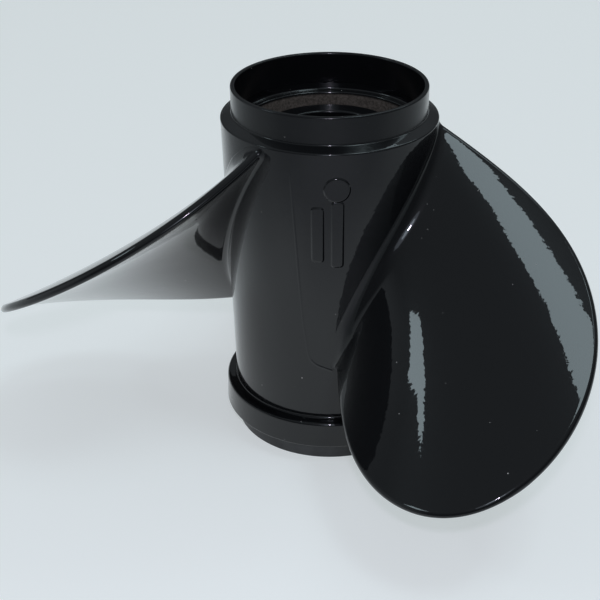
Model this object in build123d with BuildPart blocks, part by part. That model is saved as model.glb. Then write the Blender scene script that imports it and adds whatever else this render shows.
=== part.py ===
from build123d import *
import math
import os

# Three-blade outboard propeller with exhaust through the hub and a rubber cushion drive.
# Millimetres. +Z runs forward along the shaft axis. The origin is on that axis, in the
# front face of the splined sleeve, where the shaft's thrust washer bears.

# ---- driving dimensions -----------------------------------------------------------------
diameter = 282.6  # 11 1/8 in over the blade tips
tip_radius = diameter / 2
blade_count = 3
first_azimuth = -46.2  # reference line of the first blade, degrees from +X

# Stations along the axis
hub_length = 152.4
hub_front = 36.4
hub_aft = hub_front - hub_length
collar_z = hub_aft + 141.3
shoulder_z = hub_aft + 139.5
ledge_z = hub_aft + 136.4
band_top_z = hub_aft + 20.4
band_bottom_z = hub_aft + 8.6

# Outer skin of the hub, from front to back
spigot_radius = 39.4
spigot_bore_radius = 37.5
rim_round = 0.7
shoulder_radius = 43.8
shoulder_round = 0.7
barrel_aft_radius = 41.3
band_top_radius = 45.4
band_bottom_radius = 45.9
band_round = 1.6
lip_radius = 41.2
lip_round = 0.6

# Exhaust passage between the hub skin and the inner tube
throat_radius = 34.4
passage_aft_radius = 36.6
mouth_radius = 38.6
mouth_depth = 16.0

# Inner tube and its ribs
tube_front = hub_aft + 133.4
tube_aft = hub_aft + 34.0
tube_front_radius = 28.4
tube_aft_radius = 25.2
tube_bore_radius = 19.4
tube_round = 1.5
bore_round = 0.7
rib_front = hub_aft + 112.0
rib_aft = hub_aft + 42.0
rib_thickness = 5.0
rib_nose_round = 2.0

# Rubber cushion and splined sleeve
cushion_clearance = 0.05
cushion_front = -5.0
cushion_length = 60.0
cushion_chamfer = 1.5
sleeve_length = 72.0
sleeve_radius = 13.6
collar_radius = 15.2
sleeve_chamfer = 0.6
pilot_radius = 11.4
pilot_length = 8.0
spline_count = 13
spline_root_radius = 11.0
spline_tooth_radius = 9.8
spline_tooth_width = 2.4

# Blades: a helical sheet, swept back and raked aft, with its leading edge to the front.
# Its leading edge is thick and its trailing edge thin, and it bulges forward between them.
root_radius = 43.8
reference_z = hub_aft + 91.6
root_pitch = 420.7
pitch_gain = 2.6
rake_slope = 0.284
rake_curve = -2.3
chord_terms = (30.0, 58.9, -21.6)  # half the chord, in powers of the share of the span
chord_close = 3.1  # how late the outline closes towards the tip
skew_terms = (-17.4, 18.3, -15.3)  # sweep of the chord's middle, degrees
root_thickness = 11.0
tip_thickness = 3.4
leading_thickness = 3.4
trailing_thickness = 2.2
camber_height = 3.5
root_flare = 1.6
flare_reach = 3.5
section_count = 15
stations_per_side = 9
first_section = 20.0
tip_flat = 0.15

# Blank raised marks on the barrel
mark_height = 0.5
disc_azimuth = -86.3
disc_z = hub_aft + 125.1
disc_radius = 5.0
bar_azimuths = {"mark_bar_long": -86.0, "mark_bar_short": -96.2}
bar_lengths = {"mark_bar_long": 27.8, "mark_bar_short": 23.2}
bar_centre_z = hub_aft + 106.2
bar_width = 4.6
bar_round = 1.2

os.makedirs("parts", exist_ok=True)


# ---- hub profiles as functions of height --------------------------------------------------
def barrel_radius(z):
    """Radius of the barrel's tapered outer skin."""
    share = (z - band_top_z) / (shoulder_z - band_top_z)
    return barrel_aft_radius + share * (shoulder_radius - barrel_aft_radius)


def passage_radius(z):
    """Radius of the exhaust passage's outer wall."""
    share = (ledge_z - z) / (ledge_z - band_top_z)
    return throat_radius + share * (passage_aft_radius - throat_radius)


def tube_radius(z):
    """Outer radius of the inner tube."""
    share = (tube_front - z) / (tube_front - tube_aft)
    return tube_front_radius + share * (tube_aft_radius - tube_front_radius)


def facing_plane(azimuth, z):
    """Plane through the shaft axis that looks outward at an azimuth, with its y along +Z."""
    outward = Vector(1, 0, 0).rotate(Axis.Z, azimuth)
    tangent = Vector(0, 1, 0).rotate(Axis.Z, azimuth)
    return Plane(origin=(0, 0, z), x_dir=tangent, z_dir=outward)


# ---- hub skin -----------------------------------------------------------------------------
# The barrel carries the blades. Its front end slopes up to the spigot, whose bore runs on into it.
with BuildPart() as hub_barrel:
    with BuildSketch(Plane.XZ) as barrel_section:
        with BuildLine():
            Polyline(
                (passage_radius(band_top_z), band_top_z),
                (barrel_aft_radius, band_top_z),
                (shoulder_radius, shoulder_z),
                (spigot_radius, collar_z),
                (spigot_bore_radius, collar_z),
                (spigot_bore_radius, ledge_z),
                (throat_radius, ledge_z),
                close=True,
            )
        make_face()
        shoulder = barrel_section.vertices().sort_by(Axis.X)[-1]
        fillet(shoulder, shoulder_round)
    revolve(axis=Axis.Z)
hub_barrel.part.label = "hub_barrel"
export_step(hub_barrel.part, "parts/hub_barrel.step")

# The spigot is the thin collar that slips inside the gearcase's exhaust ring.
with BuildPart() as front_spigot:
    with BuildSketch(Plane.XZ) as spigot_section:
        with BuildLine():
            Polyline(
                (spigot_bore_radius, collar_z),
                (spigot_radius, collar_z),
                (spigot_radius, hub_front),
                (spigot_bore_radius, hub_front),
                close=True,
            )
        make_face()
        rim_corners = spigot_section.vertices().sort_by(Axis.Y)[-2:]
        fillet(rim_corners, rim_round)
    revolve(axis=Axis.Z)
front_spigot.part.label = "front_spigot"
export_step(front_spigot.part, "parts/front_spigot.step")

# The flared band breaks the water's suction behind the hub, and the lip closes the hub aft.
with BuildPart() as diffuser_ring:
    with BuildSketch(Plane.XZ) as ring_section:
        with BuildLine():
            Polyline(
                (passage_radius(band_top_z), band_top_z),
                (band_top_radius, band_top_z),
                (band_bottom_radius, band_bottom_z),
                (lip_radius, band_bottom_z),
                (lip_radius, hub_aft),
                (mouth_radius, hub_aft),
                (mouth_radius, hub_aft + mouth_depth),
                close=True,
            )
        make_face()
        band_corner = ring_section.vertices().sort_by_distance((band_top_radius, band_top_z))[0]
        fillet(band_corner, band_round)
        heel = ring_section.vertices().sort_by_distance((band_bottom_radius, band_bottom_z))[0]
        fillet(heel, lip_round)
    revolve(axis=Axis.Z)
diffuser_ring.part.label = "diffuser_ring"
export_step(diffuser_ring.part, "parts/diffuser_ring.step")

# ---- raised marks -------------------------------------------------------------------------
# Each mark is cut from a thin layer that lies on the barrel's taper.
with BuildSketch(Plane.XZ, mode=Mode.PRIVATE) as mark_layer:
    with BuildLine():
        Polyline(
            (barrel_radius(band_top_z), band_top_z),
            (barrel_radius(band_top_z) + mark_height, band_top_z),
            (barrel_radius(shoulder_z) + mark_height, shoulder_z),
            (barrel_radius(shoulder_z), shoulder_z),
            close=True,
        )
    make_face()

with BuildPart() as mark_disc:
    with BuildSketch(facing_plane(disc_azimuth, disc_z)):
        Circle(disc_radius)
    extrude(amount=band_top_radius)
    revolve(mark_layer.sketch, axis=Axis.Z, mode=Mode.INTERSECT)
mark_disc.part.label = "mark_disc"
export_step(mark_disc.part, "parts/mark_disc.step")

for name, length in bar_lengths.items():
    with BuildPart() as mark_bar:
        with BuildSketch(facing_plane(bar_azimuths[name], bar_centre_z)):
            RectangleRounded(bar_width, length, bar_round)
        extrude(amount=band_top_radius)
        revolve(mark_layer.sketch, axis=Axis.Z, mode=Mode.INTERSECT)
    mark_bar.part.label = name
    export_step(mark_bar.part, f"parts/{name}.step")

# ---- inner tube and ribs ------------------------------------------------------------------
with BuildPart() as inner_tube:
    with BuildSketch(Plane.XZ) as tube_section:
        with BuildLine():
            Polyline(
                (tube_bore_radius, tube_aft),
                (tube_aft_radius, tube_aft),
                (tube_front_radius, tube_front),
                (tube_bore_radius, tube_front),
                close=True,
            )
        make_face()
        outer_edge = tube_section.vertices().sort_by(Axis.X)[-1]
        fillet(outer_edge, tube_round)
        bore_edge = tube_section.vertices().sort_by_distance((tube_bore_radius, tube_front))[0]
        fillet(bore_edge, bore_round)
    revolve(axis=Axis.Z)
inner_tube.part.label = "inner_tube"
export_step(inner_tube.part, "parts/inner_tube.step")

# One rib stands under each blade root and ties the tube to the barrel.
for index in range(blade_count):
    azimuth = first_azimuth + 360 / blade_count * index
    outward = Vector(1, 0, 0).rotate(Axis.Z, azimuth)
    with BuildPart() as rib:
        with BuildSketch(Plane(origin=(0, 0, rib_aft), x_dir=outward, z_dir=(0, 0, 1))):
            with Locations(((tube_bore_radius + barrel_aft_radius) / 2, 0)):
                Rectangle(barrel_aft_radius - tube_bore_radius, rib_thickness)
        extrude(amount=rib_front - rib_aft)
        front_edges = rib.faces().sort_by(Axis.Z)[-1].edges().sort_by(SortBy.LENGTH)[-2:]
        aft_edges = rib.faces().sort_by(Axis.Z)[0].edges().sort_by(SortBy.LENGTH)[-2:]
        fillet(front_edges + aft_edges, rib_nose_round)
        with BuildSketch(Plane.XZ):
            with BuildLine():
                Polyline(
                    (tube_radius(rib_aft), rib_aft),
                    (passage_radius(rib_aft), rib_aft),
                    (passage_radius(rib_front), rib_front),
                    (tube_radius(rib_front), rib_front),
                    close=True,
                )
            make_face()
        revolve(axis=Axis.Z, mode=Mode.INTERSECT)
    rib.part.label = f"rib_{index + 1}"
    export_step(rib.part, f"parts/rib_{index + 1}.step")

# ---- cushion drive ------------------------------------------------------------------------
# The rubber grips the tube's bore and slips in it when a blade strikes something.
with BuildPart() as rubber_cushion:
    with BuildSketch(Plane.XY.offset(cushion_front)):
        Circle(tube_bore_radius - cushion_clearance)
        Circle(sleeve_radius, mode=Mode.SUBTRACT)
    extrude(amount=-cushion_length)
    rims = rubber_cushion.edges().filter_by(GeomType.CIRCLE).sort_by(SortBy.RADIUS)[-2:]
    chamfer(rims, cushion_chamfer)
rubber_cushion.part.label = "rubber_cushion"
export_step(rubber_cushion.part, "parts/rubber_cushion.step")

# The sleeve has a plain pilot at each end, and its splines between them.
with BuildPart() as splined_sleeve:
    with BuildSketch(Plane.XZ) as sleeve_section:
        with BuildLine():
            Polyline(
                (pilot_radius, 0),
                (collar_radius - sleeve_chamfer, 0),
                (collar_radius, -sleeve_chamfer),
                (collar_radius, cushion_front),
                (sleeve_radius, cushion_front),
                (sleeve_radius, sleeve_chamfer - sleeve_length),
                (sleeve_radius - sleeve_chamfer, -sleeve_length),
                (pilot_radius, -sleeve_length),
                (pilot_radius, pilot_length - sleeve_length),
                (spline_root_radius, pilot_length - sleeve_length),
                (spline_root_radius, -pilot_length),
                (pilot_radius, -pilot_length),
                close=True,
            )
        make_face()
    revolve(axis=Axis.Z)
    with BuildSketch(Plane.XY.offset(-pilot_length)):
        with PolarLocations((spline_tooth_radius + pilot_radius) / 2, spline_count):
            Rectangle(pilot_radius - spline_tooth_radius, spline_tooth_width)
    extrude(amount=2 * pilot_length - sleeve_length)
splined_sleeve.part.label = "splined_sleeve"
export_step(splined_sleeve.part, "parts/splined_sleeve.step")


# ---- blades -------------------------------------------------------------------------------
def span_share(radius):
    """0 at the root radius and 1 at the tip."""
    return (radius - root_radius) / (tip_radius - root_radius)


def half_chord_angle(radius):
    """Half of the chord, as an angle about the shaft axis."""
    share = span_share(radius)
    length = sum(term * share**power for power, term in enumerate(chord_terms))
    closing = math.sqrt(1 - min(1, max(0, share)) ** chord_close)
    return math.degrees(length * closing / radius)


def skew_angle(radius):
    """Sweep of the chord's middle from the blade's reference line."""
    share = span_share(radius)
    return sum(term * share ** (power + 1) for power, term in enumerate(skew_terms))


def mean_height(radius, angle):
    """Height of the blade's mean sheet at a radius and an angle from the reference line."""
    share = span_share(radius)
    pitch = root_pitch + pitch_gain * share
    rake = rake_slope * (radius - root_radius) + rake_curve * share**2
    return reference_z + pitch * angle / 360 - rake


def half_thickness(radius, across):
    """Half of the blade's thickness; across runs from 0, trailing, to 1, leading."""
    share = max(0, span_share(radius))
    edge = trailing_thickness + (leading_thickness - trailing_thickness) * across
    crown = root_thickness + (tip_thickness - root_thickness) * share - edge
    flare = root_flare * math.exp(-max(0, radius - root_radius) / flare_reach)
    return (edge + crown * 4 * across * (1 - across)) / 2 + flare


def camber(radius, across):
    """How far the middle of the blade bulges to the front."""
    open_share = 1 - min(1, max(0, span_share(radius))) ** chord_close
    return camber_height * open_share * 4 * across * (1 - across)


tip_angle = skew_angle(tip_radius)


def edge_offset(distance, side):
    """Sideways place of an edge in the section plane at a distance from the shaft axis."""
    low = first_section / 2
    high = tip_radius
    for step in range(50):
        radius = (low + high) / 2
        angle = skew_angle(radius) + side * half_chord_angle(radius) - tip_angle
        if radius * math.cos(math.radians(angle)) < distance:
            low = radius
        else:
            high = radius
    return radius * math.sin(math.radians(angle))


def mean_point(distance, offset):
    """Point of the mean sheet in a section plane, with the radius that it lies at."""
    radius = math.hypot(distance, offset)
    angle = math.degrees(math.atan2(offset, distance)) + tip_angle
    return Vector(offset, mean_height(radius, angle)), radius


def side_points(distance, side):
    """Points along one face of the blade, from the trailing to the leading edge."""
    start = edge_offset(distance, -1)
    stop = edge_offset(distance, 1)
    nudge = 0.01
    points = []
    for station in range(stations_per_side):
        across = station / (stations_per_side - 1)
        offset = start + (stop - start) * across
        middle, radius = mean_point(distance, offset)
        ahead, _ = mean_point(distance, offset + nudge)
        along = (ahead - middle).normalized()
        normal = Vector(-along.Y, along.X)
        offset_out = side * half_thickness(radius, across) + camber(radius, across)
        points.append(middle + normal * offset_out)
    return points


def nose(back, front, bulge):
    """Middle point of the half-round edge that joins the two faces."""
    width = (front - back).length / 2
    across = (front - back).normalized()
    outward = Vector(across.Y, -across.X) * bulge
    return (back + front) / 2 + outward * width


for index in range(blade_count):
    azimuth = first_azimuth + 360 / blade_count * index
    facing = facing_plane(azimuth + tip_angle, 0)
    with BuildPart() as blade:
        for section in range(section_count):
            reach = math.sin(math.pi / 2 * section / (section_count - 1))
            distance = first_section + (tip_radius - tip_flat - first_section) * reach
            front_face = side_points(distance, 1)
            back_face = side_points(distance, -1)
            leading = nose(back_face[-1], front_face[-1], 1)
            trailing = nose(back_face[0], front_face[0], -1)
            with BuildSketch(facing.offset(distance)):
                with BuildLine():
                    Spline(*front_face)
                    ThreePointArc(front_face[-1], leading, back_face[-1])
                    Spline(*reversed(back_face))
                    ThreePointArc(back_face[0], trailing, front_face[0])
                make_face()
        loft()
        with BuildSketch(Plane.XZ):
            with BuildLine():
                Polyline(
                    (0, band_top_z),
                    (barrel_aft_radius, band_top_z),
                    (shoulder_radius, shoulder_z),
                    (shoulder_radius, hub_front),
                    (0, hub_front),
                    close=True,
                )
            make_face()
        revolve(axis=Axis.Z, mode=Mode.SUBTRACT)
    blade.part.label = f"blade_{index + 1}"
    export_step(blade.part, f"parts/blade_{index + 1}.step")
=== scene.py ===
"""Looks of the propeller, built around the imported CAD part. The row frame is the CAD's: +Z forward
along the shaft. Sizes are in millimetres until a mesh is made; textures and the stage are in metres."""
import math

import bpy
import numpy as np
from mathutils import Matrix, Vector


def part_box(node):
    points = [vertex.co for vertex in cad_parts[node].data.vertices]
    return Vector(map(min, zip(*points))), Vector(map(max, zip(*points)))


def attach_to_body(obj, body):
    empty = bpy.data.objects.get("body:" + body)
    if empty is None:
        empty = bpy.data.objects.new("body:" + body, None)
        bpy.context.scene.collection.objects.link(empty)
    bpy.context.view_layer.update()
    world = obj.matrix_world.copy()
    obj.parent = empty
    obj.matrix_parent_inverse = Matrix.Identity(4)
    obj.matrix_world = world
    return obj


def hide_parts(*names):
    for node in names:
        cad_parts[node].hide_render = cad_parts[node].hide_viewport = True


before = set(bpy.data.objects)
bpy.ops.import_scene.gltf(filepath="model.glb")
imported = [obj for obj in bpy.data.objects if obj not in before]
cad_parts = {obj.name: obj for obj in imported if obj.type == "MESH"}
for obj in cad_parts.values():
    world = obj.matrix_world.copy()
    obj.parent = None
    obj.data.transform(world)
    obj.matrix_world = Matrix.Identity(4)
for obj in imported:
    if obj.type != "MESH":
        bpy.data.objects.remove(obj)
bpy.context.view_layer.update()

MM = 0.001


def height(node, end):
    """Lowest (0) or highest (1) point of a CAD node, in millimetres."""
    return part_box(node)[end].z / MM


# ---- sizes, in millimetres ------------------------------------------------------------------
# Heights along the shaft, from the aft lip up to the front rim.
AFT = height("diffuser_ring", 0)
BAND_BOTTOM = AFT + 8.6
BAND_TOP = height("hub_barrel", 0)
LEDGE = AFT + 136.4
SHOULDER = AFT + 139.5
COLLAR = AFT + 141.3
FRONT = height("front_spigot", 1)

# Radii of the hub's skins, and the depth of its mouth.
SPIGOT_RADIUS = 39.4
SPIGOT_BORE = 37.5
SHOULDER_RADIUS = 43.8
SHOULDER_ROUND = 0.7
BARREL_AFT_RADIUS = 41.3
BAND_TOP_RADIUS = 45.4
BAND_BOTTOM_RADIUS = 45.9
LIP_RADIUS = 41.2
THROAT_RADIUS = 34.4
PASSAGE_AFT_RADIUS = 36.6
MOUTH_RADIUS = 38.6
MOUTH_DEPTH = 16.0

TUBE_FRONT = height("inner_tube", 1)
TUBE_AFT = height("inner_tube", 0)
TUBE_FRONT_RADIUS = 28.4
TUBE_AFT_RADIUS = 25.2
TUBE_BORE = 19.4
WEB_FRONT = height("rib_1", 1)
WEB_AFT = height("rib_1", 0)
WEB_THICKNESS = 5.0
WEB_FILLET = 2.5
# How far a web's fillets may reach past its two ends.
WEB_FILLET_REACH = 2.4

CUSHION_FRONT = height("rubber_cushion", 1)
CUSHION_AFT = height("rubber_cushion", 0)
CUSHION_RADIUS = 19.35
SLEEVE_AFT = height("splined_sleeve", 0)
SLEEVE_RADIUS = 13.6
COLLAR_RADIUS = 15.2
PILOT_RADIUS = 11.4
PILOT_LENGTH = 8.0
SPLINE_COUNT = 13
SPLINE_STEPS = 24
SPLINE_ROOT = 11.0
SPLINE_TIP = 9.8
# Shares of half the splines' spacing.
TOOTH_FLAT = 0.38
TOOTH_FLANK = 0.14

BLADE_COUNT = 3
FIRST_AZIMUTH = -46.2
ROOT_RADIUS = 43.8
TIP_RADIUS = 141.3

# The helical sheet in the middle of a blade. Pitch is the advance in one turn; rake leans the sheet
# aft. A share is 0 at the root and 1 at the tip, and terms multiply its rising powers.
REFERENCE_Z = AFT + 91.6
ROOT_PITCH = 420.7
PITCH_GAIN = 2.6
RAKE_SLOPE = 0.284
RAKE_CURVE = -2.34
CHORD_TERMS = (30.05, 58.9, -21.6)
CHORD_CLOSE = 3.11
SKEW_TERMS = (-17.4, 18.25, -15.3)

# Half thicknesses at the edges and in the middle of the chord, and the bulge to the front.
LEADING_ROOT = 1.55
LEADING_TIP = 1.7
TRAILING_HALF = 1.1
ROOT_HALF = 5.5
TIP_HALF = 1.6
CAMBER_ROOT = 3.75
CAMBER_TIP = 3.0

# Fillet radii where a blade leaves the barrel, on its faces and round its two edges.
FLARE_FRONT = 5.0
FLARE_BACK = 4.0
FLARE_BACK_AHEAD = 1.4
FLARE_LEADING = 1.8
FLARE_TRAILING = 2.5
# Part of the half chord where the faces' fillets start to change into the edges' fillets.
FLARE_CHANGE = 0.55
# Depth of a blade's foot inside the barrel's skin.
ROOT_SINK = 0.35

# How softly a blade's root bends where it meets the shoulder.
SHOULDER_EASE = 1.4

# Steps of a blade's grid, and the rounds that settle its heights.
EDGE_STEPS = 7
FACE_STEPS = 48
FLARE_STEPS = 14
SPAN_STEPS = 110
SETTLE_ROUNDS = 8


# ---- mesh helpers ---------------------------------------------------------------------------
def make_object(name, points, faces):
    """Smooth-shaded mesh object from points in millimetres."""
    mesh = bpy.data.meshes.new(name)
    mesh.from_pydata([tuple(p) for p in np.asarray(points, float) * MM], [], faces)
    mesh.validate()
    mesh.polygons.foreach_set("use_smooth", [True] * len(mesh.polygons))
    obj = bpy.data.objects.new(name, mesh)
    bpy.context.scene.collection.objects.link(obj)
    return obj


def smooth(x):
    """Smooth step from 0 to 1."""
    x = np.clip(x, 0, 1)
    return x * x * (3 - 2 * x)


def turned(points, index):
    """Points turned about the shaft from azimuth 0 to the place of blade number index."""
    azimuth = math.radians(FIRST_AZIMUTH + 360 / BLADE_COUNT * index)
    c, s = math.cos(azimuth), math.sin(azimuth)
    return points @ np.array([[c, s, 0], [-s, c, 0], [0, 0, 1]])


def rounded_profile(corners, arc_steps=8, hold=0.25):
    """Closed outline in the (radius, z) plane. Each corner is (radius, z, rounding); an arc replaces
    the corner, with a holding point just outside each end so that flat stretches shade flat."""
    count = len(corners)
    outline = []
    for i, (r, z, rounding) in enumerate(corners):
        here = np.array((r, z))
        before = np.array(corners[i - 1][:2]) - here
        after = np.array(corners[(i + 1) % count][:2]) - here
        before_length, after_length = np.linalg.norm(before), np.linalg.norm(after)
        before, after = before / before_length, after / after_length
        half = math.acos(max(-1, min(1, float(before @ after)))) / 2
        setback = rounding / math.tan(half)
        middle = -(before + after) / np.linalg.norm(before + after)
        centre = here - middle * rounding / math.sin(half)
        side = np.array((-middle[1], middle[0]))
        if side @ (after - before) < 0:
            side = -side
        outline.append(here + before * (setback + min(hold, 0.2 * before_length)))
        for k in range(arc_steps + 1):
            angle = (k / arc_steps - 0.5) * (math.pi - 2 * half)
            outline.append(centre + rounding * (middle * math.cos(angle) + side * math.sin(angle)))
        outline.append(here + after * (setback + min(hold, 0.2 * after_length)))
    return np.array(outline)


def grid_faces(rows, loop, closed_rows=False):
    """Quads between rows of a grid whose rows are closed loops."""
    faces = []
    for i in range(rows if closed_rows else rows - 1):
        for j in range(loop):
            k = (j + 1) % loop
            below = (i + 1) % rows * loop
            faces.append((i * loop + j, below + j, below + k, i * loop + k))
    return faces


def revolve(name, outlines, steps=288):
    """Closed ring from an outline in the (radius, z) plane, or from one outline for each step."""
    outlines = np.broadcast_to(outlines, (steps, *np.shape(outlines)[-2:]))
    angles = np.arange(steps)[:, None] * 2 * math.pi / steps
    radius, z = outlines[..., 0], outlines[..., 1]
    points = np.stack([radius * np.cos(angles), radius * np.sin(angles), z], -1)
    faces = grid_faces(steps, outlines.shape[1], closed_rows=True)
    return make_object(name, points.reshape(-1, 3), faces)


def barrel_radius(z):
    """Radius of the barrel's skin, which rounds over at the shoulder."""
    share = (z - BAND_TOP) / (SHOULDER - BAND_TOP)
    taper = BARREL_AFT_RADIUS + share * (SHOULDER_RADIUS - BARREL_AFT_RADIUS)
    over = np.clip((z - SHOULDER + SHOULDER_ROUND) / SHOULDER_ROUND, 0, 1)
    return taper - SHOULDER_ROUND * (1 - np.sqrt(1 - over**2))


def on_barrel(azimuth, z, lift):
    """Point at a height above the barrel's skin; the azimuth is in degrees."""
    radius = barrel_radius(np.asarray(z, float)) + lift
    turn = np.radians(azimuth)
    return np.stack(np.broadcast_arrays(radius * np.cos(turn), radius * np.sin(turn), z), -1)


# ---- hub pieces -----------------------------------------------------------------------------
def make_spigot():
    """Thin collar at the front, open into the exhaust passage."""
    corners = [
        (SPIGOT_BORE, SHOULDER, 0.1),
        (SPIGOT_BORE, FRONT, 0.7),
        (SPIGOT_RADIUS, FRONT, 0.7),
        (SPIGOT_RADIUS, SHOULDER, 0.1),
    ]
    return revolve("spigot_collar", rounded_profile(corners))


def make_barrel():
    """Barrel from the shoulder down to the band, with the passage wall and its ledge inside."""
    corners = [
        (PASSAGE_AFT_RADIUS, BAND_TOP, 0.1),
        (THROAT_RADIUS, LEDGE, 0.7),
        (SPIGOT_BORE, LEDGE, 0.9),
        (SPIGOT_BORE, SHOULDER + 0.3, 0.02),
        (SPIGOT_RADIUS - 0.5, SHOULDER + 0.3, 0.02),
        (SPIGOT_RADIUS - 0.5, COLLAR + 0.5, 0.02),
        (SPIGOT_RADIUS + 0.02, COLLAR + 0.5, 0.01),
        (SPIGOT_RADIUS + 0.02, COLLAR, 0.6),
        (SHOULDER_RADIUS, SHOULDER, SHOULDER_ROUND),
        (BARREL_AFT_RADIUS, BAND_TOP, 0.1),
    ]
    return revolve("barrel_shell", rounded_profile(corners))


def make_ring():
    """Flared band, with a small fillet up to the barrel. It is hollow where the lip fills it."""
    corners = [
        (LIP_RADIUS - 1.0, BAND_BOTTOM, 0.05),
        (LIP_RADIUS - 1.0, BAND_TOP + 1.2, 0.05),
        (BARREL_AFT_RADIUS + 0.05, BAND_TOP + 1.2, 0.01),
        (BARREL_AFT_RADIUS + 0.02, BAND_TOP, 1.0),
        (BAND_TOP_RADIUS, BAND_TOP - 0.4, 1.5),
        (BAND_BOTTOM_RADIUS, BAND_BOTTOM, 0.6),
    ]
    return revolve("flared_ring", rounded_profile(corners))


def make_lip():
    """Turned lip that the hub stands on, with the mouth inside it."""
    corners = [
        (MOUTH_RADIUS, AFT, 0.5),
        (MOUTH_RADIUS, AFT + MOUTH_DEPTH, 0.8),
        (PASSAGE_AFT_RADIUS, BAND_TOP, 0.1),
        (LIP_RADIUS, BAND_TOP, 0.1),
        (LIP_RADIUS, AFT, 0.5),
    ]
    return revolve("aft_lip", rounded_profile(corners))


def make_tube():
    """Inner tube that holds the rubber."""
    corners = [
        (TUBE_BORE, TUBE_AFT, 0.5),
        (TUBE_BORE, TUBE_FRONT, 0.9),
        (TUBE_FRONT_RADIUS, TUBE_FRONT, 1.6),
        (TUBE_AFT_RADIUS, TUBE_AFT, 0.8),
    ]
    return revolve("tube_casting", rounded_profile(corners))


def make_cushion():
    """Rubber cushion, chamfered at both ends and dished at the front round the sleeve."""
    corners = [
        (SLEEVE_RADIUS, CUSHION_AFT, 0.1),
        (SLEEVE_RADIUS, CUSHION_FRONT - 0.4, 0.1),
        (SLEEVE_RADIUS + 2.6, CUSHION_FRONT - 0.9, 1.0),
        (CUSHION_RADIUS - 1.8, CUSHION_FRONT, 0.6),
        (CUSHION_RADIUS, CUSHION_FRONT - 1.4, 0.6),
        (CUSHION_RADIUS, CUSHION_AFT + 1.4, 0.6),
        (CUSHION_RADIUS - 1.8, CUSHION_AFT, 0.6),
    ]
    return revolve("cushion_rubber", rounded_profile(corners), steps=160)


def make_sleeve():
    """Sleeve with a plain pilot at each end and splines between them."""
    steps = SPLINE_COUNT * SPLINE_STEPS
    phase = np.abs((np.arange(steps) / SPLINE_STEPS) % 1 - 0.5) * 2
    down_flank = np.clip((phase - TOOTH_FLAT) / TOOTH_FLANK, 0, 1)
    bores = SPLINE_TIP + (SPLINE_ROOT - SPLINE_TIP) * down_flank
    outlines = []
    for bore in bores:
        corners = [
            (PILOT_RADIUS, 0, 0.4),
            (COLLAR_RADIUS, 0, 0.5),
            (COLLAR_RADIUS, CUSHION_FRONT, 0.1),
            (SLEEVE_RADIUS, CUSHION_FRONT, 0.1),
            (SLEEVE_RADIUS, SLEEVE_AFT, 0.5),
            (PILOT_RADIUS, SLEEVE_AFT, 0.4),
            (PILOT_RADIUS, SLEEVE_AFT + PILOT_LENGTH, 0.1),
            (bore, SLEEVE_AFT + PILOT_LENGTH, 0.1),
            (bore, -PILOT_LENGTH, 0.1),
            (PILOT_RADIUS, -PILOT_LENGTH, 0.1),
        ]
        outlines.append(rounded_profile(corners, arc_steps=3))
    return revolve("bronze_sleeve", outlines, steps=steps)


def make_web(index):
    """Cast web between the tube and the barrel, with fillets at both."""
    turn = np.linspace(0, math.pi, 13)
    half = WEB_THICKNESS / 2
    nose = np.stack([half * np.cos(turn), WEB_FRONT - half + half * np.sin(turn)], 1)
    tail = np.stack([-half * np.cos(turn), WEB_AFT + half - half * np.sin(turn)], 1)
    outline = np.concatenate([nose, tail])
    outward = np.roll(outline, -1, 0) - np.roll(outline, 1, 0)
    outward = np.stack([outward[:, 1], -outward[:, 0]], 1)
    outward /= np.linalg.norm(outward, axis=1)[:, None]
    swell = 1 - np.sin(np.linspace(0, math.pi / 2, 7))
    rise = 1 - np.cos(np.linspace(0, math.pi / 2, 7))
    inner, outer = TUBE_AFT_RADIUS - 0.2, PASSAGE_AFT_RADIUS + 0.6
    rows = [(inner + WEB_FILLET * up, WEB_FILLET * out) for up, out in zip(rise, swell)]
    rows += [(outer - WEB_FILLET * up, WEB_FILLET * out) for up, out in zip(rise[::-1], swell[::-1])]
    low, high = WEB_AFT - WEB_FILLET_REACH, WEB_FRONT + WEB_FILLET_REACH
    points = []
    for radius, bulge in rows:
        for across, z in outline + outward * bulge:
            points.append((radius, across, min(max(z, low), high)))
    faces = grid_faces(len(rows), len(outline))
    return make_object(f"cast_web_{index + 1}", turned(np.array(points), index), faces)


# ---- blades ---------------------------------------------------------------------------------
def span_share(radius):
    """Share of the way from the root to the tip."""
    return (radius - ROOT_RADIUS) / (TIP_RADIUS - ROOT_RADIUS)


def chord_profile(share):
    """Half chord before the tip closes it."""
    return sum(term * share**power for power, term in enumerate(CHORD_TERMS))


def closing(share):
    """Part of the half chord that is left as the tip closes it."""
    return np.sqrt(np.clip(1 - np.clip(share, 0, 1) ** CHORD_CLOSE, 0, 1))


def skew(share):
    """Sweep of the chord's middle, in radians."""
    return np.radians(sum(term * share ** (power + 1) for power, term in enumerate(SKEW_TERMS)))


def mean_height(radius, angle):
    """Height of the helical sheet."""
    share = span_share(radius)
    pitch = ROOT_PITCH + PITCH_GAIN * share
    rake = RAKE_SLOPE * (radius - ROOT_RADIUS) + RAKE_CURVE * share**2
    return REFERENCE_Z + pitch * angle / (2 * math.pi) - rake


def chord_nodes(half_chord, edge):
    """Places across one face from the trailing to the leading edge, as signed distances from the
    chord's middle. They crowd at both edges, where the face rounds over."""
    turn = np.linspace(0, math.pi / 2, EDGE_STEPS + 1)
    near = (edge * (1 - np.cos(turn)))[:-1]
    squeeze = np.minimum(1, half_chord / (1.6 * edge))[..., None]
    near = near[None, :] * squeeze
    reach = edge * squeeze
    inner = reach + (half_chord[:, None] * 2 - 2 * reach) * np.linspace(0, 1, FACE_STEPS + 1)[None, :]
    far = half_chord[:, None] * 2 - near[:, ::-1]
    return np.concatenate([near, inner, far], 1) - half_chord[:, None]


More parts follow.
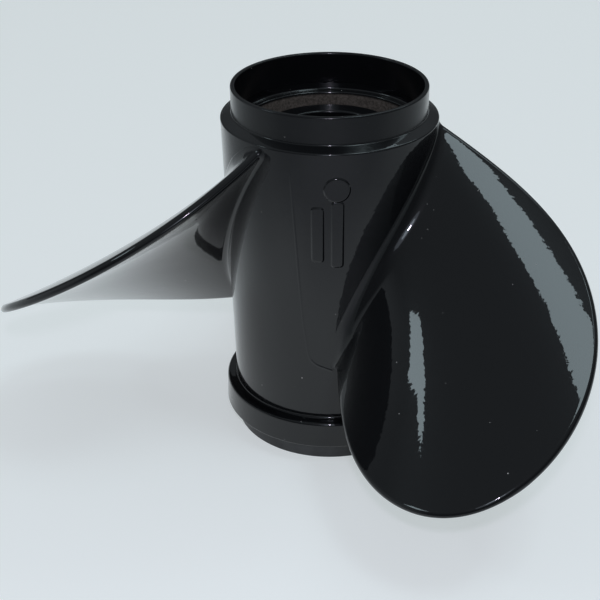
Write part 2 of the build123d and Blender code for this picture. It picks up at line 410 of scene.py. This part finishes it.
def face_offset(radius, along, half_chord, side):
    """Signed distance of a face from the helical sheet, at signed distances along the chord. The
    leading edge is thick and rounded, the trailing edge thin, and the sheet bulges to the front."""
    share = span_share(radius)
    inside = np.clip(share, 1e-4, 1)
    across = np.clip(along / np.maximum(half_chord, 1e-6), -1, 1)
    leading = LEADING_ROOT + (LEADING_TIP - LEADING_ROOT) * inside
    edge = TRAILING_HALF + (leading - TRAILING_HALF) * smooth((across + 1) / 2)
    core = ROOT_HALF + (TIP_HALF - ROOT_HALF) * inside
    crown = edge + (core - edge) * (1 - across**2)
    profile = chord_profile(share)
    gap = closing(share) ** 2 - (along / profile) ** 2
    slope_r = -CHORD_CLOSE * inside ** (CHORD_CLOSE - 1) / (TIP_RADIUS - ROOT_RADIUS)
    slope_s = -2 * along / profile**2
    steep = np.sqrt(slope_r**2 + slope_s**2) + 1e-9
    depth = np.clip(gap / steep, 0, None)
    rounding = np.sqrt(np.clip(1 - (1 - np.minimum(depth / edge, 1)) ** 2, 0, 1))
    camber = (CAMBER_ROOT + (CAMBER_TIP - CAMBER_ROOT) * inside) * np.clip(gap, 0, 1)
    return crown * rounding * side + camber


def blade_points():
    """Grid of points of one blade at azimuth 0, rows from the root outwards, each row a closed
    loop: the front face from trailing to leading edge, then the back face the other way. The first
    rows follow a fillet that leaves the barrel's skin at a tangent."""
    face_count = 2 * EDGE_STEPS + FACE_STEPS + 1
    loop = 2 * (face_count - 1)
    place = np.arange(loop)
    face_index = np.where(place < face_count, place, 2 * (face_count - 1) - place)
    side = np.where(place < face_count, 1.0, -1.0)
    middle = np.linspace(-1, 1, face_count)[face_index]
    to_leading = smooth((middle - FLARE_CHANGE) / (1 - FLARE_CHANGE))
    to_trailing = smooth((-middle - FLARE_CHANGE) / (1 - FLARE_CHANGE))
    back = FLARE_BACK + (FLARE_BACK_AHEAD - FLARE_BACK) * smooth(middle + 0.6)
    flare = np.where(side > 0, FLARE_FRONT, back)
    flare = flare + (FLARE_LEADING - flare) * to_leading + (FLARE_TRAILING - flare) * to_trailing

    turns = np.linspace(0, math.pi / 2, FLARE_STEPS + 1)
    rows = [(np.full(loop, -ROOT_SINK), flare, 0.0)]
    for turn in turns:
        rows.append(((1 - math.cos(turn)) * flare, (1 - math.sin(turn)) * flare, 0.0))
    for share in np.sin(np.linspace(0, math.pi / 2, SPAN_STEPS + 1))[1:]:
        rows.append((flare, np.zeros(loop), share))

    grid = []
    for rise, bulge, outward in rows:
        z = np.full(loop, REFERENCE_Z)
        # The barrel's radius depends on the height, so the two are settled in a few rounds.
        for _ in range(SETTLE_ROUNDS):
            base = barrel_radius(z) + rise
            radius = base + (TIP_RADIUS - base) * outward
            share = span_share(radius)
            half_chord = chord_profile(share) * closing(share)
            nodes = chord_nodes(half_chord, 2 * LEADING_TIP)
            along = nodes[place, face_index]
            thick = face_offset(radius, along, half_chord, side)
            angle = skew(share) + along / radius
            lean = np.arctan2(ROOT_PITCH + PITCH_GAIN * share, 2 * math.pi * radius)
            across = angle * radius - np.sin(lean) * thick
            up = mean_height(radius, angle) + np.cos(lean) * thick
            step_across = np.roll(across, -1) - np.roll(across, 1)
            step_up = np.roll(up, -1) - np.roll(up, 1)
            size = np.hypot(step_across, step_up) + 1e-12
            across = across - step_up / size * bulge
            up = up + step_across / size * bulge
            below = SHOULDER - up
            z = SHOULDER - (below + np.sqrt(below**2 + SHOULDER_EASE**2)) / 2
        theta = across / radius
        grid.append(np.stack([radius * np.cos(theta), radius * np.sin(theta), z], 1))
    return np.array(grid)


def make_blade(index, grid):
    """One blade from the shared grid of points, closed at its foot."""
    rows, loop, _ = grid.shape
    points = turned(grid.reshape(-1, 3), index)
    faces = grid_faces(rows, loop) + [tuple(range(loop))]
    return make_object(f"blade_skin_{index + 1}", points, faces)


# ---- raised marks and parting lines ---------------------------------------------------------
MARK_HEIGHT = 0.5
# Each mark: CAD node, azimuth in degrees, height, half width, half length, corner radius.
DISC = ("mark_disc", -86.3, AFT + 125.1, 5.0, 5.0, 5.0)
LONG_BAR = ("mark_bar_long", -86.0, AFT + 106.2, 2.3, 13.9, 1.2)
SHORT_BAR = ("mark_bar_short", -96.2, AFT + 106.2, 2.3, 11.6, 1.2)


def make_mark(node, azimuth, z, half_width, half_length, corner):
    """Blank raised mark on the barrel: a rounded rectangle with a softened edge."""
    insets = [-0.5, -0.25, 0.0, 0.12, 0.3, 0.5, 0.8]
    heights = [-0.15, 0.02, 0.2, 0.36, 0.46, MARK_HEIGHT, MARK_HEIGHT]
    innermost = min(half_width, half_length) - 0.6
    for inset in np.linspace(1.2, innermost, 5):
        insets.append(inset)
        heights.append(MARK_HEIGHT)
    points = []
    for inset, lift in zip(insets, heights):
        wide, long = half_width - inset, half_length - inset
        round_off = max(0.04, min(corner - inset, wide, long))
        for quarter in range(4):
            for angle in np.linspace(0.03, math.pi / 2 - 0.03, 13) + quarter * math.pi / 2:
                across = round_off * math.cos(angle)
                up = round_off * math.sin(angle)
                across += math.copysign(wide - round_off, math.cos(quarter * math.pi / 2 + 0.7))
                up += math.copysign(long - round_off, math.sin(quarter * math.pi / 2 + 0.7))
                turn = azimuth + math.degrees(across / barrel_radius(z + up))
                points.append(on_barrel(turn, z + up, lift))
    loop = len(points) // len(insets)
    faces = grid_faces(len(insets), loop) + [tuple(len(points) - 1 - k for k in range(loop))]
    return make_object(node.replace("mark", "blank"), points, faces)


# Azimuth in degrees and height above the aft lip.
PARTING_PATH = [
    (-110.4, 136.8),
    (-109.7, 129.2),
    (-108.6, 113.9),
    (-107.4, 98.9),
    (-106.4, 85.7),
    (-105.5, 76.8),
    (-104.6, 67.6),
    (-103.1, 58.3),
    (-102.1, 52.7),
    (-100.5, 48.9),
    (-97.1, 46.6),
    (-93.2, 45.4),
    (-88.5, 44.0),
]
# Roughly the length of one degree on the barrel's skin, and the length over which the ridge rises.
DEGREE_LENGTH = 0.75
PARTING_FADE = 10.0


def make_parting_line(index):
    """Low ridge left where the two halves of the mould met, from the shoulder to a blade's root."""
    knots = np.array(PARTING_PATH)
    steps = np.hypot(np.diff(knots[:, 0]) * DEGREE_LENGTH, np.diff(knots[:, 1]))
    distance = np.concatenate([[0], np.cumsum(steps)])
    tangents = np.gradient(knots, distance, axis=0)
    samples = np.linspace(0, distance[-1], 150)
    centres = []
    for place in samples:
        i = min(len(steps) - 1, int(np.searchsorted(distance, place, side="right")) - 1)
        span = distance[i + 1] - distance[i]
        t = (place - distance[i]) / span
        centres.append(
            (2 * t**3 - 3 * t**2 + 1) * knots[i]
            + (t**3 - 2 * t**2 + t) * span * tangents[i]
            + (3 * t**2 - 2 * t**3) * knots[i + 1]
            + (t**3 - t**2) * span * tangents[i + 1]
        )
    centres = np.array(centres)
    centres[:, 1] += AFT
    heading = np.gradient(centres, axis=0)
    heading[:, 0] *= math.radians(ROOT_RADIUS)
    heading /= np.linalg.norm(heading, axis=1)[:, None]
    offsets = np.array([-0.9, -0.6, -0.35, -0.12, 0.12, 0.35, 0.6, 0.9])
    lifts = np.array([-0.08, 0.0, 0.09, 0.16, 0.16, 0.09, 0.0, -0.08])
    turn = 360 / BLADE_COUNT * index
    points = []
    for (azimuth, z), (along_turn, along_z), place in zip(centres, heading, samples):
        fade = smooth(np.array(place / PARTING_FADE))
        side_turn = azimuth + turn + np.degrees(offsets * along_z / ROOT_RADIUS)
        side_z = z - offsets * along_turn
        points.extend(on_barrel(side_turn, side_z, lifts * fade - 0.1 * (1 - fade)))
    size = len(offsets)
    faces = []
    for i in range(len(samples) - 1):
        for j in range(size - 1):
            corner = i * size + j
            faces.append((corner, corner + 1, corner + size + 1, corner + size))
    return make_object(f"parting_line_{index + 1}", points, faces)


# ---- materials ------------------------------------------------------------------------------
def new_material(name, roughness, ior=1.45):
    """New material with its node tree and its Principled shader."""
    material = bpy.data.materials.new(name)
    material.use_nodes = True
    shader = material.node_tree.nodes["Principled BSDF"]
    shader.inputs["Roughness"].default_value = roughness
    shader.inputs["IOR"].default_value = ior
    return material, material.node_tree, shader


def texture(tree, kind, scale, **settings):
    """Texture node in object coordinates; scale is in features per metre."""
    node = tree.nodes.new(kind)
    node.inputs["Scale"].default_value = scale
    for name, value in settings.items():
        node.inputs[name.replace("_", " ")].default_value = value
    coordinates = tree.nodes.new("ShaderNodeTexCoord")
    tree.links.new(coordinates.outputs["Object"], node.inputs["Vector"])
    return node


def math_node(tree, operation, first, second=0.0):
    """Result of a Math node; each operand is a number or a socket."""
    node = tree.nodes.new("ShaderNodeMath")
    node.operation = operation
    for slot, value in enumerate((first, second)):
        if isinstance(value, (int, float)):
            node.inputs[slot].default_value = value
        else:
            tree.links.new(value, node.inputs[slot])
    return node.outputs["Value"]


def remap(tree, value, low, high, out_low=0.0, out_high=1.0):
    """Smooth step of value from low..high to out_low..out_high."""
    node = tree.nodes.new("ShaderNodeMapRange")
    node.interpolation_type = "SMOOTHSTEP"
    tree.links.new(value, node.inputs["Value"])
    ends = {"From Min": low, "From Max": high, "To Min": out_low, "To Max": out_high}
    for name, number in ends.items():
        node.inputs[name].default_value = number
    return node.outputs["Result"]


def mix_colour(tree, share, first, second):
    """Colour between two, each of them a tuple or a socket. The Mix node's colour sockets share their
    names with its other sockets, so they are picked by number."""
    node = tree.nodes.new("ShaderNodeMix")
    node.data_type = "RGBA"
    tree.links.new(share, node.inputs["Factor"])
    for slot, value in ((6, first), (7, second)):
        if isinstance(value, tuple):
            node.inputs[slot].default_value = (*value, 1)
        else:
            tree.links.new(value, node.inputs[slot])
    return node.outputs[2]


def mottle(tree, scale, low, high, first, second, **settings):
    """Colour that wanders between two as a noise goes from low to high."""
    noise = texture(tree, "ShaderNodeTexNoise", scale, **settings)
    return mix_colour(tree, remap(tree, noise.outputs["Fac"], low, high), first, second)


def bump(tree, shader, height_value, distance, sockets=("Normal",)):
    """Bump of a depth in metres on the shader's normals."""
    node = tree.nodes.new("ShaderNodeBump")
    node.inputs["Distance"].default_value = distance
    tree.links.new(height_value, node.inputs["Height"])
    for socket in sockets:
        tree.links.new(node.outputs["Normal"], shader.inputs[socket])


def grain(tree, shader, scale, detail, depth):
    """Bump from a fine noise."""
    noise = texture(tree, "ShaderNodeTexNoise", scale, Detail=detail)
    bump(tree, shader, noise.outputs["Fac"], depth)


def specks(tree, scale, chance, size):
    """Mask of small round grains: one may sit in each cell of a Voronoi pattern."""
    cells = texture(tree, "ShaderNodeTexVoronoi", scale)
    split = tree.nodes.new("ShaderNodeSeparateColor")
    tree.links.new(cells.outputs["Color"], split.inputs["Color"])
    spot = remap(tree, cells.outputs["Distance"], size, 0.4 * size)
    chosen = math_node(tree, "GREATER_THAN", split.outputs["Red"], 1 - chance)
    return math_node(tree, "MULTIPLY", spot, chosen)


PAINT = (0.0042, 0.0046, 0.0054)
DUST = (0.7, 0.68, 0.64)
PEEL_DEPTH = 0.00002
GLOSS_ROUGHNESS = 0.3
DUSTED_ROUGHNESS = 0.62


def gloss_paint(name, coat, coat_roughness, haze):
    """Black enamel under a clear gloss: a slight orange peel, dust nibs and a faint haze."""
    material, tree, shader = new_material(name, GLOSS_ROUGHNESS)
    shader.inputs["Specular IOR Level"].default_value = haze
    shader.inputs["Coat Weight"].default_value = coat
    shader.inputs["Coat Roughness"].default_value = coat_roughness
    shader.inputs["Coat IOR"].default_value = 1.47
    large_nibs = specks(tree, scale=190, chance=0.16, size=0.055)
    small_nibs = specks(tree, scale=420, chance=0.05, size=0.07)
    nibs = math_node(tree, "MAXIMUM", large_nibs, small_nibs)
    tree.links.new(mix_colour(tree, nibs, PAINT, DUST), shader.inputs["Base Color"])
    peel = texture(tree, "ShaderNodeTexNoise", 420, Detail=1.0)
    waves = texture(tree, "ShaderNodeTexNoise", 90, Detail=0.0)
    surface = math_node(tree, "MULTIPLY", waves.outputs["Fac"], 1.6)
    surface = math_node(tree, "ADD", surface, peel.outputs["Fac"])
    surface = math_node(tree, "ADD", surface, math_node(tree, "MULTIPLY", nibs, 1.5))
    bump(tree, shader, surface, PEEL_DEPTH, ("Normal", "Coat Normal"))
    return material


def lip_paint():
    """The same paint, rubbed dull where the hub is stood on its lip."""
    material, tree, shader = new_material("rubbed_black_paint", 0.36)
    kept, rubbed = (0.016, 0.017, 0.019), (0.034, 0.036, 0.038)
    colour = mottle(tree, 120, 0.35, 0.7, kept, rubbed, Detail=4.0)
    tree.links.new(colour, shader.inputs["Base Color"])
    grain(tree, shader, 900, 2.0, 0.00004)
    return material


def overspray(tree):
    """Fine brown-grey mottle of dry paint dust."""
    brown, grey = (0.07, 0.063, 0.052), (0.17, 0.152, 0.128)
    return mottle(tree, 900, 0.3, 0.72, brown, grey, Detail=4.0, Roughness=0.7)


def dusted_casting():
    """Bare inner casting with a thin dry coat of overspray, brown where the alloy shows."""
    material, tree, shader = new_material("dusted_casting", DUSTED_ROUGHNESS)
    tree.links.new(overspray(tree), shader.inputs["Base Color"])
    grain(tree, shader, 1400, 3.0, 0.00015)
    return material


def rubber():
    """Black rubber with a faint bloom."""
    material, tree, shader = new_material("black_rubber", 0.55, 1.5)
    clean, bloom = (0.014, 0.014, 0.014), (0.035, 0.034, 0.033)
    colour = mottle(tree, 160, 0.4, 0.75, clean, bloom, Detail=4.0)
    tree.links.new(colour, shader.inputs["Base Color"])
    grain(tree, shader, 1100, 2.0, 0.00008)
    return material


def bronze():
    """Bronze with patches of tarnish."""
    material, tree, shader = new_material("sleeve_bronze", 0.33)
    shader.inputs["Metallic"].default_value = 1.0
    bright, tarnished = (0.50, 0.36, 0.19), (0.27, 0.18, 0.10)
    colour = mottle(tree, 140, 0.38, 0.7, bright, tarnished, Detail=5.0)
    tree.links.new(colour, shader.inputs["Base Color"])
    grain(tree, shader, 700, 2.0, 0.00003)
    return material


PASSAGE_WALL = (SPIGOT_BORE - 0.4) * MM
PASSAGE_DUST_TOP = (LEDGE - 1.2) * MM
PASSAGE_DUST_FADE = 0.0006


def barrel_paint(paint):
    """The gloss paint outside; the passage wall inside it has only dry overspray."""
    material = paint.copy()
    material.name = "barrel_paint"
    tree = material.node_tree
    shader = tree.nodes["Principled BSDF"]
    gloss_colour = shader.inputs["Base Color"].links[0].from_socket
    coordinates = tree.nodes.new("ShaderNodeTexCoord")
    split = tree.nodes.new("ShaderNodeSeparateXYZ")
    tree.links.new(coordinates.outputs["Object"], split.inputs["Vector"])
    x_squared = math_node(tree, "POWER", split.outputs["X"], 2.0)
    y_squared = math_node(tree, "POWER", split.outputs["Y"], 2.0)
    radius = math_node(tree, "SQRT", math_node(tree, "ADD", x_squared, y_squared))
    inside = math_node(tree, "LESS_THAN", radius, PASSAGE_WALL)
    dust_start = PASSAGE_DUST_TOP + PASSAGE_DUST_FADE
    below = remap(tree, split.outputs["Z"], dust_start, PASSAGE_DUST_TOP - PASSAGE_DUST_FADE)
    dry = math_node(tree, "MULTIPLY", inside, below)
    tree.links.new(mix_colour(tree, dry, gloss_colour, overspray(tree)), shader.inputs["Base Color"])
    tree.links.new(math_node(tree, "SUBTRACT", 1.0, dry), shader.inputs["Coat Weight"])
    roughness = remap(tree, dry, 0.0, 1.0, GLOSS_ROUGHNESS, DUSTED_ROUGHNESS)
    tree.links.new(roughness, shader.inputs["Roughness"])
    return material


# ---- assembly -------------------------------------------------------------------------------
def attach(piece, nodes, body, material):
    """Gives a piece its material and body, and hides the CAD nodes that it stands for."""
    piece.data.materials.append(material)
    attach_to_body(piece, body)
    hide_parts(*nodes)


paint = gloss_paint("gloss_black_paint", 0.97, 0.028, 0.06)
spigot_paint = gloss_paint("spigot_black_paint", 0.55, 0.13, 0.2)
attach(make_barrel(), ["hub_barrel"], "propeller", barrel_paint(paint))
attach(make_spigot(), ["front_spigot"], "propeller", spigot_paint)
attach(make_ring(), ["diffuser_ring"], "propeller", paint)
attach(make_lip(), ["diffuser_ring"], "propeller", lip_paint())
for mark in (DISC, LONG_BAR, SHORT_BAR):
    attach(make_mark(*mark), [mark[0]], "propeller", paint)

blade_grid = blade_points()
casting = dusted_casting()
for index in range(BLADE_COUNT):
    blade = make_blade(index, blade_grid)
    attach(blade, [f"blade_{index + 1}"], "propeller", paint)
    attach(make_parting_line(index), ["hub_barrel"], "propeller", paint)
    attach(make_web(index), [f"rib_{index + 1}"], "propeller", casting)
attach(make_tube(), ["inner_tube"], "propeller", spigot_paint)
attach(make_cushion(), ["rubber_cushion"], "drive_core", rubber())
attach(make_sleeve(), ["splined_sleeve"], "drive_core", bronze())


# ---- stage ----------------------------------------------------------------------------------
FLOOR_HALF = 3.0
# Tint and strength of the painted pool of light that the floor gives off.
FLOOR_PAINTED_LIGHT_TINT = (0.92, 0.985, 1.0)
FLOOR_PAINTED_LIGHT_STRENGTH = 0.48
# Painted pool of light on the floor: places where it is weakest and where it is full, and its weakest
# share.
PAINTED_LIGHT_AHEAD = (-0.28, -0.13, 0.2)
PAINTED_LIGHT_ASIDE = (0.30, 0.15, 0.35)
PAINTED_LIGHT_SPREAD = 0.22

CEILING = 2.0
CEILING_TINT = (0.76, 0.93, 1.0)
RIGHT_PANEL = [
    (0.53, -0.64),
    (0.44, -0.47),
    (0.30, -0.42),
    (0.28, -0.30),
    (0.40, -0.18),
    (0.47, 0.15),
    (0.68, 0.15),
    (0.68, -0.12),
    (0.80, -0.20),
    (0.95, -0.15),
    (1.25, 0.35),
    (1.00, -0.58),
    (0.69, -0.63),
]
LEFT_PANEL = [
    (-2.70, -0.60),
    (-2.20, -0.60),
    (-2.12, -0.15),
    (-2.08, 0.10),
    (-2.20, 0.10),
    (-2.38, 0.0),
    (-2.80, 0.06),
]
BACK_PANEL = [(0.45, 0.85), (1.80, 1.00), (1.90, 1.60), (0.50, 1.25)]

CAMERA_PLACE = (0, -0.4604, 0.3107 + AFT * MM)
CAMERA_DOWN = 29.36
FLASH_ABOVE = 0.07
FLASH_TINT = (0.9, 0.8, 1.0)
GLOW_TINT = (0.74, 0.86, 1.0)

WORLD_TINT = (0.66, 0.73, 0.78)
LOW_GLOW = 0.12
HIGH_GLOW = 0.21
LEFT_WALL_GLOW = 0.4


def emitter(name, roughness, tint):
    """Material without gloss that gives off light of one tint."""
    material, tree, shader = new_material(name, roughness)
    shader.inputs["Specular IOR Level"].default_value = 0.0
    shader.inputs["Emission Color"].default_value = (*tint, 1)
    return material, tree, shader


def make_floor():
    """Pale floor with a painted pool of light: it gives off a little light around the object, fading
    ahead and to the sides, so that shadows on it stay faint.
    """
    mesh = bpy.data.meshes.new("floor")
    corners = [(x * FLOOR_HALF, y * FLOOR_HALF, 0) for x, y in ((-1, -1), (1, -1), (1, 1), (-1, 1))]
    mesh.from_pydata(corners, [], [(0, 1, 2, 3)])
    floor = bpy.data.objects.new("floor", mesh)
    floor.location = (0, 0, AFT * MM)
    bpy.context.scene.collection.objects.link(floor)
    material, tree, shader = emitter("floor_painted_light_pool", 0.9, FLOOR_PAINTED_LIGHT_TINT)
    shader.inputs["Base Color"].default_value = (0.62, 0.62, 0.62, 1)
    coordinates = tree.nodes.new("ShaderNodeTexCoord")
    split = tree.nodes.new("ShaderNodeSeparateXYZ")
    tree.links.new(coordinates.outputs["Object"], split.inputs["Vector"])
    front = remap(tree, split.outputs["Y"], *PAINTED_LIGHT_AHEAD)
    aside = math_node(tree, "ABSOLUTE", split.outputs["X"])
    spread = math_node(tree, "MULTIPLY", split.outputs["Y"], PAINTED_LIGHT_SPREAD)
    beside = remap(tree, math_node(tree, "SUBTRACT", aside, spread), *PAINTED_LIGHT_ASIDE)
    # Painted light: the floor's emission, strongest round the object and fading ahead and to the sides.
    painted_pool = math_node(tree, "MULTIPLY", math_node(tree, "MULTIPLY", front, beside), FLOOR_PAINTED_LIGHT_STRENGTH)
    tree.links.new(painted_pool, shader.inputs["Emission Strength"])
    material.cycles.emission_sampling = "NONE"
    mesh.materials.append(material)


def panel(name, outline, radiance):
    """Glowing ceiling panel with a given outline."""
    mesh = bpy.data.meshes.new(name)
    mesh.from_pydata([(x, y, CEILING) for x, y in outline], [], [tuple(range(len(outline)))])
    light = bpy.data.objects.new(name, mesh)
    bpy.context.scene.collection.objects.link(light)
    material, _, shader = emitter(name, 1.0, CEILING_TINT)
    shader.inputs["Base Color"].default_value = (0, 0, 0, 1)
    shader.inputs["Emission Strength"].default_value = radiance
    mesh.materials.append(material)


def lamp(name, half_length, y, width, radiance, colour):
    """Elliptic lamp just above the camera, level from side to side and facing the object."""
    centre = Vector((0, y, CAMERA_PLACE[2] + FLASH_ABOVE))
    along = Vector((1, 0, 0))
    facing = -centre.normalized()
    data = bpy.data.lights.new(name, "AREA")
    data.shape = "ELLIPSE"
    data.size = 2 * half_length
    data.size_y = width
    data.energy = radiance * math.pi * data.size * data.size_y
    data.color = colour
    light = bpy.data.objects.new(name, data)
    turn = Matrix((along, along.cross(facing), -facing)).transposed()
    light.matrix_world = Matrix.Translation(centre) @ turn.to_4x4()
    light.visible_camera = False
    bpy.context.scene.collection.objects.link(light)


def make_world():
    """Dim room: brighter overhead than low down, with a pale wall on the left."""
    world = bpy.data.worlds.new("studio")
    world.use_nodes = True
    tree = world.node_tree
    background = tree.nodes["Background"]
    background.inputs["Color"].default_value = (*WORLD_TINT, 1)
    direction = tree.nodes.new("ShaderNodeTexCoord")
    compass = tree.nodes.new("ShaderNodeSeparateXYZ")
    tree.links.new(direction.outputs["Generated"], compass.inputs["Vector"])
    upward = math_node(tree, "MULTIPLY", remap(tree, compass.outputs["Z"], 0.2, 0.7), HIGH_GLOW)
    wall = remap(tree, compass.outputs["X"], -0.8, -0.97, 0.0, LEFT_WALL_GLOW)
    sky = math_node(tree, "ADD", upward, LOW_GLOW)
    tree.links.new(math_node(tree, "ADD", sky, wall), background.inputs["Strength"])
    bpy.context.scene.world = world


def make_camera():
    """Camera in front of the propeller and above it, looking down."""
    data = bpy.data.cameras.new("camera")
    data.lens = 72.79
    data.sensor_width = 36
    data.shift_x = -0.0494
    data.shift_y = 0.0074
    camera = bpy.data.objects.new("camera", data)
    camera.location = CAMERA_PLACE
    camera.rotation_euler = (math.radians(90 - CAMERA_DOWN), 0, 0)
    bpy.context.scene.collection.objects.link(camera)
    bpy.context.scene.camera = camera


make_floor()
panel("right_panel", RIGHT_PANEL, radiance=4.9)
panel("left_panel", LEFT_PANEL, radiance=5.2)
panel("back_panel", BACK_PANEL, radiance=2.2)
lamp("flash", half_length=0.013, y=-0.47, width=0.026, radiance=200, colour=FLASH_TINT)
lamp("flash_glow", half_length=0.06, y=-0.49, width=0.12, radiance=2.4, colour=GLOW_TINT)
lamp("flash_haze", half_length=0.12, y=-0.51, width=0.24, radiance=0.7, colour=GLOW_TINT)
make_world()
make_camera()
bpy.context.scene.view_settings.view_transform = "Standard"
